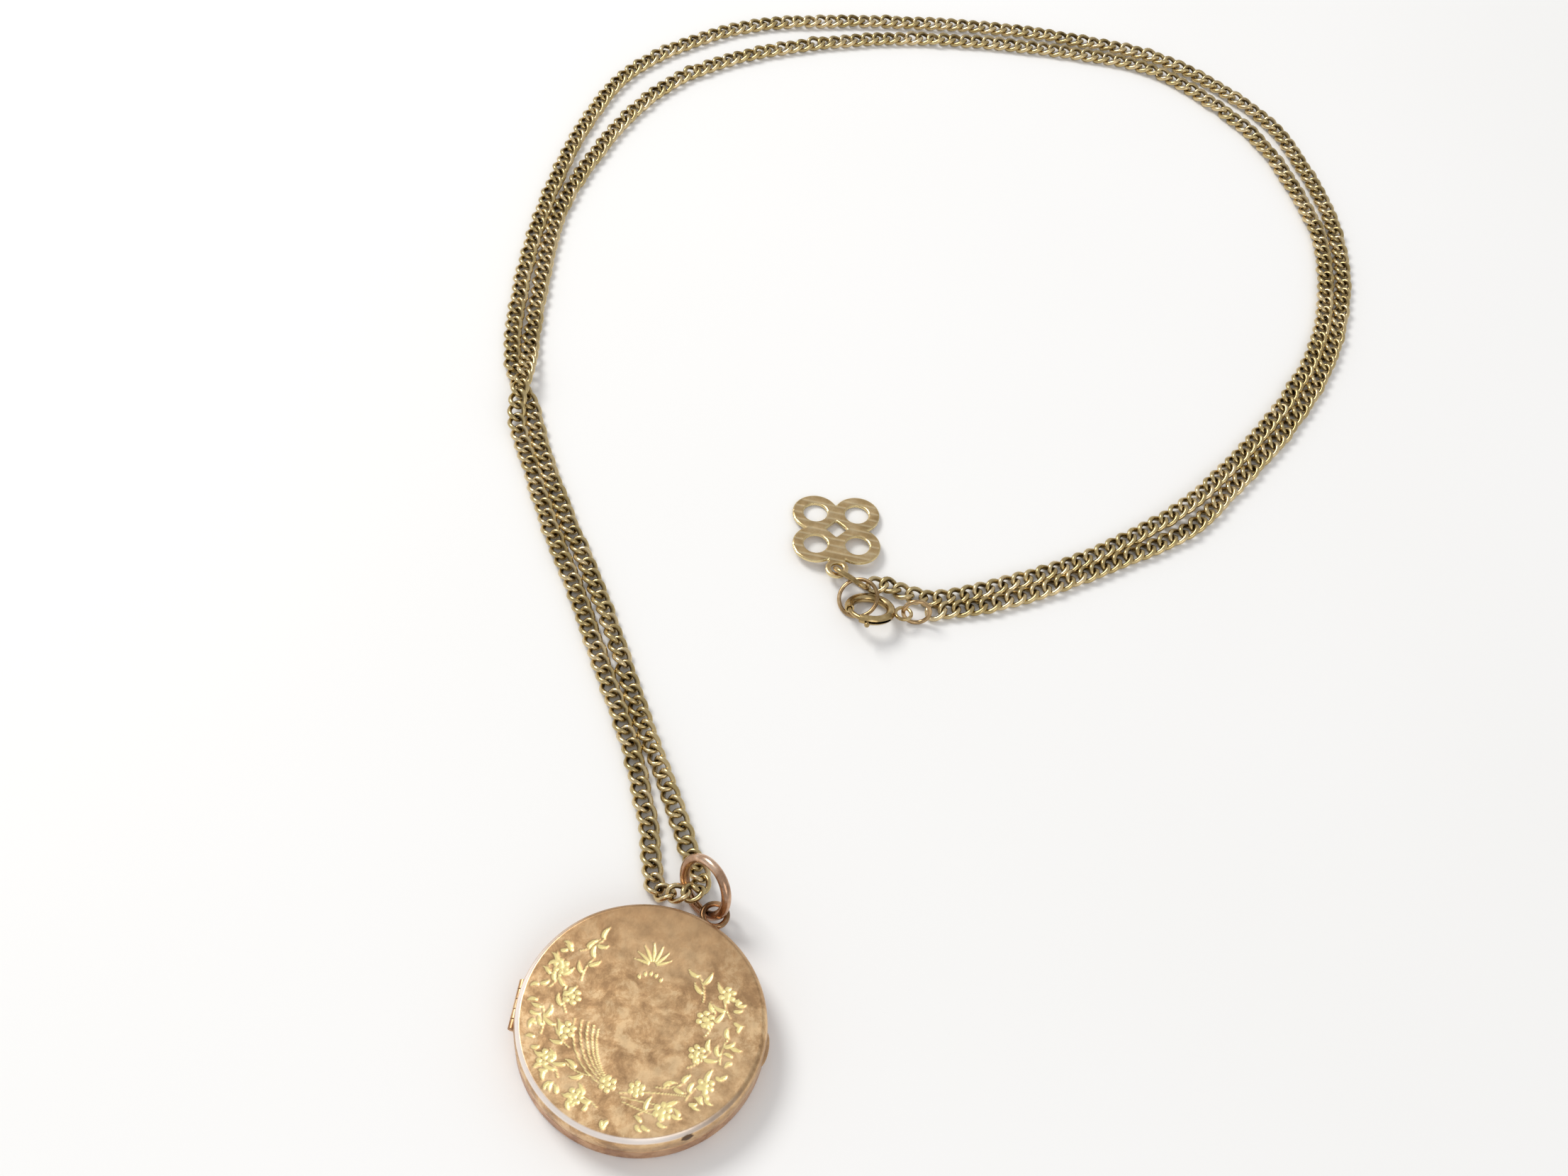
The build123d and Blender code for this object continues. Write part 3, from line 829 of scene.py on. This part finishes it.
def case_metal(name, dark, mid, light, engraved=False):
    """Rose gold: blotchy tarnish, fine scratches, brighter freshly cut lines, painted shade darkening it
    towards the far (+Y) side, and on the lid a painted highlight on the lower-left bevel, a stain spot and
    painted shade along the lower-right bevel.
    """
    s = Shader(name)
    blotch = s.noise(430, 9, 0.74, 0.3)
    colour = s.ramp(blotch, tones((0.40, dark), (0.5, mid), (0.58, light)))
    patch = s.noise(110, 6, 0.66)
    colour = s.mix(s.remap(patch, 0.48, 0.58, 0.0, 0.45), colour, linear(light))
    split = s.node("ShaderNodeSeparateXYZ")
    s.put(split.inputs[0], s.place)
    # painted shade: darker towards the far (+Y) side of the case
    colour = s.mix(s.remap(split.outputs[1], 0.002, 0.012, 0.0, 0.85), colour, linear(dark))
    rough = s.remap(s.noise(700, 5, 0.6), 0.3, 0.7, 0.30, 0.46)
    metal = 1.0
    if engraved:
        bright = s.remap(s.attribute("cut"), 0.03, 0.4, 0.0, 1.0)
        colour = s.mix(bright, colour, linear((246, 226, 156)))
        # painted highlight: the lower-left bevel mixed toward near-white (250, 240, 232)
        rubbed = s.remap(s.attribute("rubbed"), 0.1, 0.8, 0.0, 0.9)
        colour = s.mix(rubbed, colour, linear((250, 240, 232)))
        # a real stain spot, and painted shade along the lower-right bevel, both in dark brown (70, 44, 28)
        colour = s.mix(s.remap(s.attribute("stain"), 0.2, 0.7, 0.0, 0.9), colour, linear((70, 44, 28)))
        # where the cut lines or the painted highlight are, the metal is made less metallic so they show
        # bright
        worn = s.node("ShaderNodeMath", operation="MAXIMUM")
        s.put(worn.inputs[0], bright)
        s.put(worn.inputs[1], rubbed)
        metal = s.remap(worn.outputs[0], 0.0, 1.0, 1.0, 0.4)
    s.bump(s.noise(2600, 4, 0.6), 0.25, 0.00003)
    return s.finish(colour, rough, metal)


lid_metal = case_metal("lid_metal", (172, 136, 98), (204, 165, 120), (230, 196, 150), engraved=True)
back_metal = case_metal("back_metal", (170, 124, 90), (196, 150, 110), (216, 176, 136))
trim_metal = case_metal("trim_metal", (168, 128, 92), (194, 154, 112), (216, 180, 138))
frame_metal = case_metal("frame_metal", (180, 136, 96), (204, 160, 118), (220, 182, 140))


def ring_metal(name, dark, mid, light, low=0.16, high=0.30):
    """Polished wire with a warmer, darker tone in patches."""
    s = Shader(name)
    colour = s.ramp(s.noise(420, 5, 0.6, 0.4), tones((0.32, dark), (0.52, mid), (0.72, light)))
    s.bump(s.noise(3000, 3, 0.5), 0.2, 0.00003)
    return s.finish(colour, s.remap(s.noise(900, 4, 0.5), 0.3, 0.7, low, high))


jump = ring_metal("jump_ring_metal", (132, 106, 72), (186, 156, 114), (232, 206, 170))
copper = ring_metal("copper_metal", (150, 116, 90), (208, 170, 140), (240, 214, 188))
# the hanging loop gets a darker brown copy of the ring metal: partly its tarnish, partly painted shade
loop_brown = ring_metal("loop_metal", (90, 66, 44), (150, 116, 82), (222, 182, 142))
yellow = ring_metal("yellow_metal", (138, 114, 72), (188, 162, 112), (230, 208, 162))


def chain_metal():
    """Yellow gold links, with painted shade in dark brown on their inner sides, patchy in strength."""
    s = Shader("chain_metal")
    golds = tones((0.0, (184, 162, 112)), (0.5, (202, 180, 130)), (1.0, (222, 200, 156)))
    colour = s.ramp(s.attribute("lot"), golds)
    shade_patchiness = s.remap(s.noise(800, 4, 0.6), 0.3, 0.7, 0.55, 1.25)
    grime = s.node("ShaderNodeMath", operation="MULTIPLY")
    s.put(grime.inputs[0], s.attribute("grime"))
    s.put(grime.inputs[1], shade_patchiness)
    # painted shade: the inner sides of the links mixed toward dark brown (66, 50, 28)
    colour = s.mix(s.remap(grime.outputs[0], 0.42, 1.05, 0.0, 0.88), colour, linear((66, 50, 28)))
    return s.finish(colour, s.remap(s.noise(1200, 3, 0.5), 0.3, 0.7, 0.18, 0.32))


chain_gold = chain_metal()


def charm_metal():
    s = Shader("charm_metal")
    golds = tones((0.3, (172, 142, 96)), (0.5, (200, 170, 122)), (0.7, (220, 194, 150)))
    colour = s.ramp(s.noise(500, 5, 0.6), golds)
    colour = s.mix(s.remap(s.attribute("cut"), 0.1, 0.8, 0.0, 0.6), colour, linear((232, 212, 170)))
    # painted highlight: the charm's edges mixed toward pale gold (236, 220, 168)
    colour = s.mix(s.remap(s.attribute("edge"), 0.2, 1.0, 0.0, 0.6), colour, linear((236, 220, 168)))
    s.bump(s.noise(2400, 3, 0.5), 0.2, 0.00003)
    return s.finish(colour, s.remap(s.noise(900, 4, 0.5), 0.3, 0.7, 0.20, 0.36))


def window_film():
    s = Shader("window_film")
    s.put(s.bsdf.inputs["Alpha"], 0.3)
    s.put(s.bsdf.inputs["IOR"], 1.45)
    colour = s.ramp(s.noise(200, 2, 0.5), tones((0.3, (236, 238, 236)), (0.7, (248, 248, 246))))
    return s.finish(colour, s.remap(s.noise(600, 3, 0.5), 0.3, 0.7, 0.02, 0.08), 0.0)


def card_paper():
    s = Shader("card_paper")
    creams = tones((0.3, (206, 194, 170)), (0.5, (224, 214, 192)), (0.7, (234, 226, 208)))
    colour = s.ramp(s.noise(500, 6, 0.65), creams)
    s.bump(s.noise(2500, 5, 0.7), 0.4, 0.00004)
    return s.finish(colour, s.remap(s.noise(900, 3, 0.5), 0.3, 0.7, 0.75, 0.9), 0.0)


def coil_steel():
    s = Shader("coil_steel")
    colour = s.ramp(s.noise(900, 4, 0.6), tones((0.3, (150, 150, 152)), (0.7, (196, 196, 198))))
    return s.finish(colour, s.remap(s.noise(1500, 3, 0.5), 0.3, 0.7, 0.2, 0.35))


looks = {
    lid: lid_metal, back: back_metal, lid_knuckles: trim_metal, back_knuckles: trim_metal, pin: trim_metal,
    thumb: trim_metal, loop: loop_brown, bail: copper, connector: jump, end_link: jump,
    neck_chain: chain_gold, bolt: yellow, bolt_loop: yellow, trigger: yellow, knob: yellow,
    coil: coil_steel(), charm_ring: yellow, charm: charm_metal(),
}
for piece, look in looks.items():
    piece.data.materials.append(look)
shown_cad = {
    "closing_rim": frame_metal, "back_photo_frame": frame_metal, "front_photo_frame": frame_metal,
    "back_window": window_film(), "back_card": card_paper(),
}
shown_cad["front_window"] = shown_cad["back_window"]
shown_cad["front_card"] = shown_cad["back_card"]
for node, look in shown_cad.items():
    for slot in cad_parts[node].material_slots:
        slot.material = look

# ---------------------------------------------------------------- what moves with what
stands_for = [
    (lid, "lid", "rose_gold", ["front_cover"]),
    (lid_knuckles, "lid", "rose_gold", ["front_hinge_knuckles"]),
    (thumb, "lid", "rose_gold", ["thumb_lip"]),
    (back, "back", "rose_gold", ["back_cover"]),
    (back_knuckles, "back", "rose_gold", ["back_hinge_knuckles"]),
    (pin, "back", "rose_gold", ["hinge_pin"]),
    (loop, "back", "rose_gold", ["hanging_loop"]),
    (neck_chain, "back", "yellow_gold", ["neck_chain"]),
    (bail, "bail", "copper_gold", ["bail_ring"]),
    (connector, "connector", "copper_gold", ["connector_ring"]),
    (bolt, "bolt", "yellow_gold", ["bolt_ring_body"]),
    (bolt_loop, "bolt", "yellow_gold", ["bolt_ring_loop"]),
    (coil, "bolt", "spring_steel", ["trigger_spring"]),
    (trigger, "trigger", "yellow_gold", ["trigger_wire"]),
    (knob, "trigger", "yellow_gold", ["trigger_knob"]),
    (charm_ring, "charm_link", "yellow_gold", ["charm_ring"]),
    (end_link, "end_link", "copper_gold", ["end_ring"]),
    (charm, "charm_piece", "yellow_gold", ["charm"]),
]
for piece, body, slot_name, nodes in stands_for:
    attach(piece, body)
    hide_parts(*nodes)

# ---------------------------------------------------------------- floor and light
floor_verts = np.array([(-900, -700, 0), (900, -700, 0), (900, 1100, 0), (-900, 1100, 0)], float)
floor = make("floor", floor_verts, [(0, 1, 2, 3)])
s = Shader("floor_paper")
floor_tone = s.ramp(s.noise(8, 2, 0.5), tones((0.3, (243, 242, 239)), (0.7, (246, 245, 243))))
floor.data.materials.append(s.finish(floor_tone, s.remap(s.noise(30, 2, 0.5), 0.3, 0.7, 0.8, 0.9), 0.0))

world = bpy.data.worlds.new("soft_room")
world.use_nodes = True
sky = world.node_tree.nodes["Background"]
sky.inputs["Color"].default_value = (0.96, 0.97, 1.0, 1.0)
sky.inputs["Strength"].default_value = 0.62
scene.world = world


def area(name, at, aim, size, power, colour=(1, 1, 1)):
    light = bpy.data.lights.new(name, "AREA")
    light.shape = "DISK"
    light.size = size
    light.energy = power
    light.color = colour
    obj = bpy.data.objects.new(name, light)
    scene.collection.objects.link(obj)
    obj.location = at
    obj.rotation_euler = (Vector(aim) - Vector(at)).to_track_quat("-Z", "Y").to_euler()


area("key", (-0.45, 0.35, 0.6), (0.02, 0.05, 0.0), 0.35, 3.6, (1.0, 0.99, 0.97))
area("fill", (0.3, -0.5, 0.5), (0.0, 0.05, 0.0), 0.5, 0.9, (1.0, 0.98, 0.96))
scene.view_settings.view_transform = "Standard"
scene.view_settings.look = "None"
scene.view_settings.exposure = 0.0
